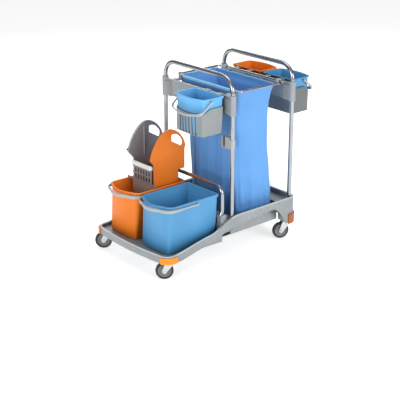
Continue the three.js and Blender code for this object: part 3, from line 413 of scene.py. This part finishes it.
def trayRim():
    # the rolled edge that runs round the top of the tray, dipping from the deck to the front; painted paler
    # than the tray as a highlight on its top
    look = {"frontX": -488, "rearX": 478, "half": 310, "corner": 50, "waist": 12, "waistEnd": 60, "bow": 17,
            "inset": 5.5, "above": 0.6, "section": (11, 5.5),
            "tops": ((-560, 137), (-418, 137), (-148, 180), (-118, 190), (-84, 209), (-50, 228), (-15, 243),
                     (12, 250), (66, 252), (560, 252))}  # x, z along the tray's side
    low, high = look["frontX"], look["rearX"]
    radius, innerY = look["corner"] - look["inset"], look["half"] - look["corner"]

    def heightAt(x):
        for (a, za), (b, zb) in zip(look["tops"], look["tops"][1:]):
            if x <= b:
                return za + (zb - za) * (x - a) / (b - a)

    def waistAt(x):
        t = min(1, max(0, (x - low - look["corner"]) / (look["waistEnd"] - low - look["corner"])))
        return look["waist"] * math.sin(math.pi * t) ** 2

    path = []

    def corner(cx, cy, start):
        for i in range(9):
            a = math.radians(start + 90 * i / 8)
            path.append((cx + radius * math.cos(a), cy + radius * math.sin(a)))

    corner(high - look["corner"], -innerY, -90)
    corner(high - look["corner"], innerY, 0)
    sideX = [high - look["corner"] + (low - high + 2 * look["corner"]) * i / 48 for i in range(1, 48)]
    path += [(x, look["half"] - look["inset"] - waistAt(x)) for x in sideX]
    corner(low + look["corner"], innerY, 90)
    for i in range(1, 12):
        y = innerY * (1 - i / 6)
        path.append((low + look["inset"] - look["bow"] * (1 - (y / innerY) ** 2), y))
    corner(low + look["corner"], -innerY, 180)
    path += [(x, -look["half"] + look["inset"] + waistAt(x)) for x in reversed(sideX)]
    line = [(x, y, heightAt(x) + look["above"]) for x, y in path]
    wide, tall = look["section"]
    shape = sweep(line, softBar(tall, wide, tall / 2 - 0.1, 4), (0, 0, 1), closed=True)
    return showPiece("trayRim", *shape, "trayRimPolypropylene", "cart", slot="tray_grey_plastic")


trayRim()
print("tray done")

# ---- bent tubes

tubes = {"frameRadius": 12, "frameBend": 85, "spacing": 442, "legY": 280, "topZ": 1013, "footZ": 206,
         "lowRadius": 11, "lowX": -60, "lowLegY": 268, "lowBend": 50, "lowZ": 424, "kneeZ": 290,
         "footBend": 36, "footTurn": 25, "footEnd": 18}


def frameTube(name, x):
    reach = tubes["legY"] - tubes["frameBend"]
    crown = tubes["topZ"] - tubes["frameBend"]
    path = [(x, -tubes["legY"], tubes["footZ"])]
    path += arc((x, -reach, crown), tubes["frameBend"], (0, -1, 0), (0, 0, 1), 14)
    path += arc((x, reach, crown), tubes["frameBend"], (0, 0, 1), (0, 1, 0), 14)
    path += [(x, tubes["legY"], tubes["footZ"])]
    shape = sweep(path, roundSection(tubes["frameRadius"], 28), (1, 0, 0))
    return showPiece(name + "Tube", *shape, "chromedTube", "cart", [name], "chromed_tube")


def lowRail():
    x, legY, bendR = tubes["lowX"], tubes["lowLegY"], tubes["lowBend"]
    turn = math.radians(tubes["footTurn"])
    crown = tubes["lowZ"] - bendR

    def foot(y):
        spoke = (math.cos(turn), 0, -math.sin(turn))
        knee = arc((x - tubes["footBend"], y, tubes["kneeZ"]), tubes["footBend"], (1, 0, 0), spoke, 6)
        return knee + [knee[-1] + Vector((-math.sin(turn), 0, -math.cos(turn))) * tubes["footEnd"]]

    path = list(reversed(foot(-legY)))
    path += arc((x, bendR - legY, crown), bendR, (0, -1, 0), (0, 0, 1), 12)
    path += arc((x, legY - bendR, crown), bendR, (0, 0, 1), (0, 1, 0), 12)
    path += foot(legY)
    shape = sweep(path, roundSection(tubes["lowRadius"], 28), (1, 0, 0))
    return showPiece("lowRailTube", *shape, "chromedTube", "cart", ["low_rail"], "chromed_tube")


frameTube("front_frame", 0)
frameTube("rear_frame", tubes["spacing"])
lowRail()

# ---- bag rods

rods = {"radius": 6, "bend": 30, "z": 923, "y": 258, "frontX": 60, "rearX": 395, "shortOf": 24, "barEnd": 227}


def bagRod(name, barX, sideEndX, side):
    inward = 1 if sideEndX > barX else -1
    corner = (barX + inward * rods["bend"], side * (rods["y"] - rods["bend"]), rods["z"])
    path = [(barX, -side * rods["barEnd"], rods["z"])]
    path += arc(corner, rods["bend"], (-inward, 0, 0), (0, side, 0), 10)
    path += [(sideEndX, side * rods["y"], rods["z"])]
    shape = sweep(path, roundSection(rods["radius"], 20), (0, 0, 1))
    return showPiece(name + "Wire", *shape, "chromedTube", "cart", [name], "chromed_tube")


bagRod("bag_rod_front", rods["frontX"], rods["rearX"] - rods["shortOf"], -1)
bagRod("bag_rod_rear", rods["rearX"], rods["frontX"] + rods["shortOf"], 1)
for side in ("right", "left"):
    dressNode("bag_rod_cap_" + side, "clipRubber", 1.2)
    for end in ("front", "rear"):
        dressNode("bag_rod_clip_" + end + "_" + side, "lightGreyPolypropylene", 1.5)

# ---- cross rails, handle clip

for end in ("front", "rear"):
    dressNode(end + "_cross_rail", "railPolypropylene", 1.5)
dressNode("handle_clip", "lightGreyPolypropylene", 1.8)
dressNode("handle_clip_grip", "clipRubber", 1.0)
print("frames and rails done")

# ---- buckets

largeBucket = {"length": 375, "width": 260, "height": 268, "bow": 26, "footBow": 10, "frontRadius": 48,
               "footRadius": 29, "rearRadius": 16, "taper": 9,
               "rim": 8, "rimDepth": 13, "wall": 3, "pivotX": 31, "pivotDrop": 20.5, "bossRadius": 6.5,
               "bailReach": 19, "armY": 134.5, "bailTurn": 60, "strap": (11, 6), "grip": (18, 8)}
smallBucket = {"length": 165, "width": 240, "height": 198, "bow": 16, "footBow": 8, "frontRadius": 30,
               "footRadius": 23, "rearRadius": 14, "taper": 10,
               "rim": 7, "rimDepth": 9, "wall": 2.5, "pivotX": -8, "pivotDrop": 16, "bossRadius": 6,
               "bailReach": 46, "armY": 124, "bailTurn": 38, "strap": (10, 4), "grip": (20, 7)}


def bucketRing(size, inset, z, steps=9, across=17):
    halfL, halfW = size["length"] / 2 - inset, size["width"] / 2 - inset
    up = min(1, max(0, z / size["height"]))  # the front is sharper and flatter at the foot
    bow = size["footBow"] + (size["bow"] - size["footBow"]) * up
    rear = max(size["rearRadius"] - inset, 4)
    front = max(size["footRadius"] + (size["frontRadius"] - size["footRadius"]) * up - inset, 4)
    ring = []

    def corner(cx, cy, radius, start):
        for i in range(steps + 1):
            a = math.radians(start + 90 * i / steps)
            ring.append((cx + radius * math.cos(a), cy + radius * math.sin(a), z))

    corner(halfL - rear, rear - halfW, rear, -90)
    corner(halfL - rear, halfW - rear, rear, 0)
    corner(bow + front - halfL, halfW - front, front, 90)
    for i in range(1, across):
        y = (halfW - front) * (1 - 2 * i / across)
        ring.append((bow * (y / (halfW - front)) ** 2 - halfL, y, z))
    corner(bow + front - halfL, front - halfW, front, 180)
    return ring


def moved(shape, place, turnZ=0):
    spin = Matrix.Rotation(math.radians(turnZ), 4, "Z")
    points, faces = shape
    return [tuple(spin @ Vector(p) + Vector(place)) for p in points], faces


def bucketShape(size):
    rim, taper, wall, tall, lip = size["rim"], size["taper"], size["wall"], size["height"], size["rimDepth"]
    foot = rim + taper  # levels: inset and height, up the outside and down the inside
    levels = [(foot + 7, 0), (foot + 2.2, 1.6), (foot, 6.5), (rim + 0.35, tall - lip - 3),
              (rim - 0.8, tall - lip - 0.8), (rim - 3, tall - lip), (1.3, tall - lip), (0, tall - lip + 1.4),
              (0, tall - 2.4), (0.9, tall - 0.7), (2.6, tall), (rim + wall - 2.6, tall),
              (rim + wall - 0.7, tall - 0.8), (rim + wall, tall - 3), (foot + wall, 10),
              (foot + wall + 1.6, 5.2), (foot + wall + 6, wall)]
    shell = skin([bucketRing(size, inset, z) for inset, z in levels])
    bosses = []
    for side in (-1, 1):
        wallY = size["width"] / 2 - rim
        boss = size["bossRadius"]
        bosses.append(turned([(-2, boss), (rim - 2.6, boss), (rim - 1.6, boss - 1)],
                             (size["pivotX"], side * wallY, tall - size["pivotDrop"]), (0, side, 0), 28))
    return together(shell, *bosses)


def bailShape(size, tilt):
    # a flat strap: thin at the pivots, wide where a hand takes it
    reach = size["length"] / 2 + size["pivotX"] + size["bailReach"]
    turn, armY = size["bailTurn"], size["armY"]
    half = armY - turn
    bendX = turn + size["bow"] - reach
    armX = [6, -10] + [x for x in (-30, -60, -90) if x > bendX + 12]
    acrossY = [half * (-1 + 2 * i / 16) for i in range(1, 16)]
    path = [Vector((x, -armY, 0)) for x in armX]
    path += arc((bendX, -half, 0), turn, (0, -1, 0), (-1, 0, 0), 10)
    path += [Vector((size["bow"] * (y / half) ** 2 - reach, y, 0)) for y in acrossY]
    path += arc((bendX, half, 0), turn, (-1, 0, 0), (0, 1, 0), 10)
    path += [Vector((x, armY, 0)) for x in reversed(armX)]
    walked = [0]
    for a, b in zip(path, path[1:]):
        walked.append(walked[-1] + (b - a).length)
    (strapTall, strapThick), (gripTall, gripThick) = size["strap"], size["grip"]
    section = softBar(2, 2, 0.8, 5)
    count = len(path)

    def grow(share):
        along = walked[round(share * (count - 1))] / walked[-1]
        near = min(1, max(0, (0.5 - abs(along - 0.5) - 0.17) / 0.08))
        near = near * near * (3 - 2 * near)
        return ((strapTall + (gripTall - strapTall) * near) / 2,
                (strapThick + (gripThick - strapThick) * near) / 2)

    strap = sweep(path, section, (0, 0, 1), grow=grow)
    parts = [strap]
    for side in (-1, 1):  # round ends that turn in the bucket's sides
        parts.append(turned([(-3.2, strapTall / 2 + 1), (2.2, strapTall / 2 + 1), (3.2, strapTall / 2)],
                            (0, side * armY, 0), (0, side, 0), 28))
        pinStart = -(armY - size["width"] / 2) - 5
        parts.append(turned([(pinStart, 3), (0, 3)], (0, side * armY, 0), (0, side, 0), 16))
    points, faces = together(*parts)
    spin = Matrix.Rotation(math.radians(tilt), 4, "Y")
    pivot = Vector((size["pivotX"], 0, size["height"] - size["pivotDrop"]))
    return [spin @ Vector(p) + pivot for p in points], faces


bucketPlaces = {
    # piece: size, foot centre, turn, bail tilt, finish, slot, CAD nodes and bodies of the bucket and its bail
    "orange": (largeBucket, (-267.5, 140, 122.3), 0, 0, "orangePolypropylene", "orange_plastic",
               ("bucket_orange", "bucket_bail_orange"), ("orange_bucket", "orange_bail")),
    "blue": (largeBucket, (-267.5, -140, 122.3), 0, 0, "bluePolypropylene", "blue_plastic",
             ("bucket_blue", "bucket_bail_blue"), ("blue_bucket", "blue_bail")),
    "smallFront": (smallBucket, (-114, -132, 722), 0, -38, "paleBluePolypropylene", "blue_plastic",
                   ("small_bucket_front", "small_bail_front"), ("small_bucket_front", "small_bail_front")),
    "smallRearRight": (smallBucket, (556, -128, 722), 180, -38, "bluePolypropylene", "blue_plastic",
                       ("small_bucket_rear_right", "small_bail_rear_right"),
                       ("small_bucket_rear_right", "small_bail_rear_right")),
    "smallRearLeft": (smallBucket, (556, 128, 722), 180, -38, "orangePolypropylene", "orange_plastic",
                      ("small_bucket_rear_left", "small_bail_rear_left"),
                      ("small_bucket_rear_left", "small_bail_rear_left")),
}
for name, (size, at, turn, tilt, finish, slot, nodes, bodies) in bucketPlaces.items():
    shell = moved(bucketShape(size), at, turn)
    showPiece(name + "Bucket", *shell, finish, bodies[0], [nodes[0]], slot, keenEdge=50)
    strap = moved(bailShape(size, tilt), at, turn)
    showPiece(name + "Bail", *strap, "lightGreyPolypropylene", bodies[1], [nodes[1]], "light_grey_plastic")
# the rear holders take the darker copy of the holder grey as painted shade
for place, finish in (("front", "holderPolypropylene"), ("rear_right", "rearHolderPolypropylene"),
                      ("rear_left", "rearHolderPolypropylene")):
    dressNode("holder_" + place, finish, 1.2)
print("buckets done")

# ---- wringer

wringerParts = {
    # CAD node: finish, edge rounding
    "wringer_basket": ("darkGreyPolypropylene", 1.0),
    # the fixed jaw's pale edges are a painted highlight along its rim
    "wringer_back_jaw": ("midGreyPolypropylene", 2.0),
    "wringer_lever_jaw": ("orangePolypropylene", 2.5),
    # the lip's near white is a painted highlight on the basket's top ledge
    "wringer_lip": ("whiteAbs", 1.5),
    "wringer_rail_hooks": ("darkGreyPolypropylene", 1.5),
    "wringer_hinge_pin": ("zincPlatedSteel", 0.6),
}
for name, (material, edge) in wringerParts.items():
    dressNode(name, material, edge)


def jawTrim():
    # pale rounded strip round the fixed jaw's dome, a painted highlight along its rim, and the black peg at its
    # shoulder
    look = {"x": -304, "top": 708.3, "shoulderZ": 524, "rise": 13, "faceY": (222, 232), "section": (12.5, 4.5)}
    x, top, shoulder = look["x"], look["top"], look["shoulderZ"]

    def curve(a, b, c, d, steps):
        made = []
        for i in range(1, steps + 1):
            t = i / steps
            made.append(tuple((1 - t) ** 3 * a[k] + 3 * t * (1 - t) ** 2 * b[k] + 3 * t * t * (1 - t) * c[k]
                              + t ** 3 * d[k] for k in (0, 1)))
        return made

    start = (x - 12, shoulder + 18 + look["rise"])
    crown = (x + 118, top)
    end = (x + 234, top - 110)
    line = [start] + curve(start, (x + 10, shoulder + 108 + look["rise"]), (x + 75, top), crown, 14)
    line += curve(crown, (x + 172, top), (x + 224, top - 55), end, 14)
    middle = sum(look["faceY"]) / 2
    shape = sweep([(u, middle, w) for u, w in line], softBar(*look["section"], 2.2, 4), (0, 1, 0))
    showPiece("backJawEdgeHighlight", *shape, "lightGreyPolypropylene", "wringer", slot="light_grey_plastic")
    peg = turned([(-9, 3.4), (-8, 4.4), (7, 4.4), (8, 3.4)], (x - 10, middle, shoulder + 46), (1, 0, 0.1), 24)
    showPiece("backJawPeg", *peg, "clipRubber", "wringer", slot="dark_grey_plastic")


jawTrim()
print("wringer done")

# ---- castors

castors = {
    "front_right": (-432, -272, -37),
    "front_left": (-432, 272, -37),
    "rear_right": (425, -272, -24),
    "rear_left": (425, 272, -55),
}
wheel = {"radius": 48, "trail": 28, "tyreHalf": 13, "tyreInner": 35.3, "hubHalf": 15}


def castorWheel(place):
    x, y, degrees = castors[place]
    heading = math.radians(degrees)
    centre = (x - wheel["trail"] * math.cos(heading), y - wheel["trail"] * math.sin(heading), wheel["radius"])
    axis = (-math.sin(heading), math.cos(heading), 0)
    r, half, inner = wheel["radius"], wheel["tyreHalf"], wheel["tyreInner"]
    hub = wheel["hubHalf"]
    tread = [(-half + 2.5, inner), (-half, inner + 3), (-half, r - 7), (-half + 1.4, r - 3.2),
             (-half + 4.6, r - 0.9), (-half + 8.2, r), (half - 8.2, r), (half - 4.6, r - 0.9),
             (half - 1.4, r - 3.2), (half, r - 7), (half, inner + 3), (half - 2.5, inner)]
    showPiece("tyre_" + place, *turnedRing(tread, centre, axis, 72), "tyreRubber", "wheel_" + place,
              ["wheel_tyre_" + place], "tyre_rubber", keenEdge=60)
    out, bore = inner - 0.3, 4.3
    core = [(-hub, bore), (-hub, 11), (-hub + 1.2, 12.6), (-5, 14), (-3.6, 17), (-3.6, out - 9), (-5, out - 6),
            (-half + 3.2, out - 4.4), (-half + 3.2, out), (half - 3.2, out), (half - 3.2, out - 4.4),
            (5, out - 6), (3.6, out - 9), (3.6, 17), (5, 14), (hub - 1.2, 12.6), (hub, 11), (hub, bore)]
    showPiece("hub_" + place, *turnedRing(core, centre, axis, 60), "hubPolypropylene", "wheel_" + place,
              ["wheel_hub_" + place], "light_grey_plastic")
    for node, edge in (("castor_fork_", 0.8), ("castor_axle_", 0.5), ("castor_plate_", 0.6)):
        dressNode(node + place, "zincPlatedSteel", edge)


for place in castors:
    castorWheel(place)
print("castors done")

# ---- bag

bag = {
    # z: x0, x1, y0, y1, corner radius
    "levels": [(919, 67, 343, -246, 246, 20), (905, 67, 341, -246, 244, 22), (870, 66, 327, -244, 232, 26),
               (820, 66, 318, -242, 212, 30), (740, 66, 312, -240, 180, 32), (600, 66, 311, -240, 170, 34),
               (424, 72, 328, -240, 167, 34), (276, 82, 344, -240, 170, 34), (180, 86, 346, -238, 172, 36),
               (140, 90, 342, -234, 170, 40), (128, 104, 326, -218, 154, 34)],
    "round": 180, "down": 90, "thick": 1.4, "fold": 9.0, "foot": 128, "calmBelow": 175,
    "hem": (5, 9), "cuff": 17,
}


def between(levels, z):
    for upper, lower in zip(levels, levels[1:]):
        if z >= lower[0]:
            t = (z - lower[0]) / (upper[0] - lower[0])
            t = t * t * (3 - 2 * t) * 0.5 + t * 0.5
            return [lower[k] + (upper[k] - lower[k]) * t for k in range(1, 6)]
    return list(levels[-1][1:])


def roundedLoop(x0, x1, y0, y1, corner, count):
    # points at even spacing round a rounded rectangle, from the middle of the -X side, anticlockwise from above
    line = []
    for cx, cy, start in ((x0 + corner, y0 + corner, 180), (x1 - corner, y0 + corner, 270),
                          (x1 - corner, y1 - corner, 0), (x0 + corner, y1 - corner, 90)):
        for i in range(13):
            a = math.radians(start + 90 * i / 12)
            line.append(Vector((cx + corner * math.cos(a), cy + corner * math.sin(a), 0)))
    line.append(line[0])
    lengths = [(b - a).length for a, b in zip(line, line[1:])]
    total = sum(lengths)
    loop, k, gone = [], 0, 0.0
    for i in range(count):
        want = total * i / count
        while gone + lengths[k] < want:
            gone += lengths[k]
            k += 1
        loop.append(line[k].lerp(line[k + 1], (want - gone) / lengths[k]))
    return loop


def foldAt(share, z, top):
    # uneven upright folds that fade where the rods pull the cloth tight, and drag lines from two corners
    drop = (top - z) / (top - bag["foot"])
    loose = min(1, drop * 1.8)
    a = 2 * math.pi * share

    def streaks(around, along, seed):
        return noise.noise(Vector((math.cos(a) * around, math.sin(a) * around, drop * along + seed)))

    deep = 1.1 * streaks(1.1, 0.8, 3) + 1.1 * streaks(3.6, 1.0, 11) + 0.7 * streaks(9, 1.6, 23)
    ridge = 1 - abs(streaks(6, 0.9, 41)) * 5  # a few sharp pleats
    deep += 0.55 * max(0, ridge) ** 2
    pull = math.sin(2 * math.pi * (share * 26 + drop * 3.4)) * 0.34
    topDrag = pull * math.exp(-((drop - 0.2) / 0.14) ** 2) * math.exp(-((share - 0.52) / 0.07) ** 2)
    lowDrag = math.sin(2 * math.pi * (share * 22 - drop * 6)) * 0.42
    lowDrag *= math.exp(-((drop - 0.86) / 0.13) ** 2) * (0.4 + math.exp(-((share - 0.5) / 0.1) ** 2))
    return (deep * loose + topDrag + lowDrag) * bag["fold"]


def hangBag():
    levels = bag["levels"]
    top, bottom = levels[0][0], levels[-1][0]
    rings = []
    for i in range(bag["down"] + 1):
        z = top + (bottom - top) * i / bag["down"]
        x0, x1, y0, y1, corner = between(levels, z)
        loop = roundedLoop(x0, x1, y0, y1, corner, bag["round"])
        ring = []
        for j, p in enumerate(loop):
            out = (loop[(j + 1) % len(loop)] - loop[j - 1]).cross(Vector((0, 0, 1))).normalized()
            calm = 1.0
            if z <= bag["calmBelow"]:
                calm = max(0.15, (z - bag["foot"]) / (bag["calmBelow"] - bag["foot"]))
            q = p + out * (foldAt(j / len(loop), z, top) * calm - bag["fold"] * 0.35 * calm)
            ring.append((q.x, q.y, z + 1.5 * noise.noise(Vector((p.x, p.y, z)) * 0.02)))
        rings.append(ring)
    points, faces = skin(rings, capStart=False, capEnd=False)
    last = rings[-1]
    centre = sum((Vector(p) for p in last), Vector()) / len(last)
    floorRings = []
    for k in range(1, 7):
        share = 1 - k / 7
        floorRings.append([tuple(centre + (Vector(p) - centre) * share + Vector((0, 0, -1.5))) for p in last])
    floorPart = skin([last] + floorRings, capStart=False, capEnd=True)
    bagMesh = together((points, faces), floorPart)
    piece = showPiece("hungBag", *bagMesh, "bagCloth", "cart", ["bag"], "bag_fabric", keenEdge=120)
    weld = piece.modifiers.new("weld", "WELD")
    weld.merge_threshold = 0.0002
    thick = piece.modifiers.new("thick", "SOLIDIFY")
    thick.thickness = bag["thick"] * mm
    thick.offset = 0
    hemPath = [Vector(p) + Vector((0, 0, 0.5)) for p in rings[0]]
    hemShape = sweep(hemPath, softBar(*bag["hem"], 2, 3), (1, 0, 0.001), closed=True)
    return piece, showPiece("bagHem", *hemShape, "hemTape", "cart")


def foldCuff():
    # the mouth turned over the front rod between its clips
    path = [(rods["frontX"], y, rods["z"]) for y in range(-196, 197, 14)]
    cuffShape = sweep(path, softBar(bag["cuff"], bag["cuff"], 8, 6), (1, 0, 0), caps=False)
    return showPiece("bagCuff", *cuffShape, "hemTape", "cart", slot="bag_fabric")


hungBag, bagHem = hangBag()
bagCuff = foldCuff()
print("bag done")

# ---- surroundings


studio = {"half": 9, "paper": "#f4f4f4", "glow": 0.55, "walls": 0.55}


def layFloor():
    half = studio["half"]
    points = [(-half, -half, 0), (half, -half, 0), (half, half, 0), (-half, half, 0)]
    mesh = bpy.data.meshes.new("studioFloor")
    mesh.from_pydata([Vector(p) for p in points], [], [(0, 1, 2, 3)])
    made, tree, place = newMaterial("studioPaper")
    tone = colourDrift(tree, place, studio["paper"], 0.8, 0.04)
    shader = addNode(tree, "ShaderNodeBsdfPrincipled", {
        "Base Color": tone, "Roughness": 0.9, "Emission Color": (1, 1, 1, 1),
        "Emission Strength": studio["glow"]})
    mesh.materials.append(finishMaterial(made, tree, shader))
    floor = bpy.data.objects.new("studioFloor", mesh)
    bpy.context.scene.collection.objects.link(floor)


def paleRoom():
    # white behind the cart, dim walls with a bright ceiling for what the chrome mirrors
    world = bpy.data.worlds.new("paleRoom")
    bpy.context.scene.world = world
    world.use_nodes = True
    tree = world.node_tree
    tree.nodes.clear()
    place = addNode(tree, "ShaderNodeTexCoord").outputs["Generated"]
    split = addNode(tree, "ShaderNodeSeparateXYZ", {"Vector": place})
    ramp = addNode(tree, "ShaderNodeValToRGB", {"Fac": split.outputs["Z"]})
    stops = ramp.color_ramp.elements
    stops[0].position, stops[0].color = 0.0, (0.1, 0.1, 0.11, 1)
    stops[1].position, stops[1].color = 1.0, (0.95, 0.95, 0.96, 1)
    for position, level in ((0.1, 0.16), (0.2, 0.5), (0.45, 0.32), (0.7, 0.85)):
        stop = stops.new(position)
        stop.color = (level, level, level * 1.02, 1)
    walls = addNode(tree, "ShaderNodeBackground", {"Color": ramp.outputs[0], "Strength": studio["walls"]})
    backdrop = addNode(tree, "ShaderNodeBackground", {"Color": (1, 1, 1, 1), "Strength": 1.0})
    seen = addNode(tree, "ShaderNodeLightPath").outputs["Is Camera Ray"]
    both = addNode(tree, "ShaderNodeMixShader", {0: seen, 1: walls.outputs[0], 2: backdrop.outputs[0]})
    addNode(tree, "ShaderNodeOutputWorld", {"Surface": both.outputs[0]})


placeCamera()
placeLamps()
layFloor()
paleRoom()
scene = bpy.context.scene
scene.view_settings.view_transform = "Standard"
scene.view_settings.look = "None"
print("light and camera done")
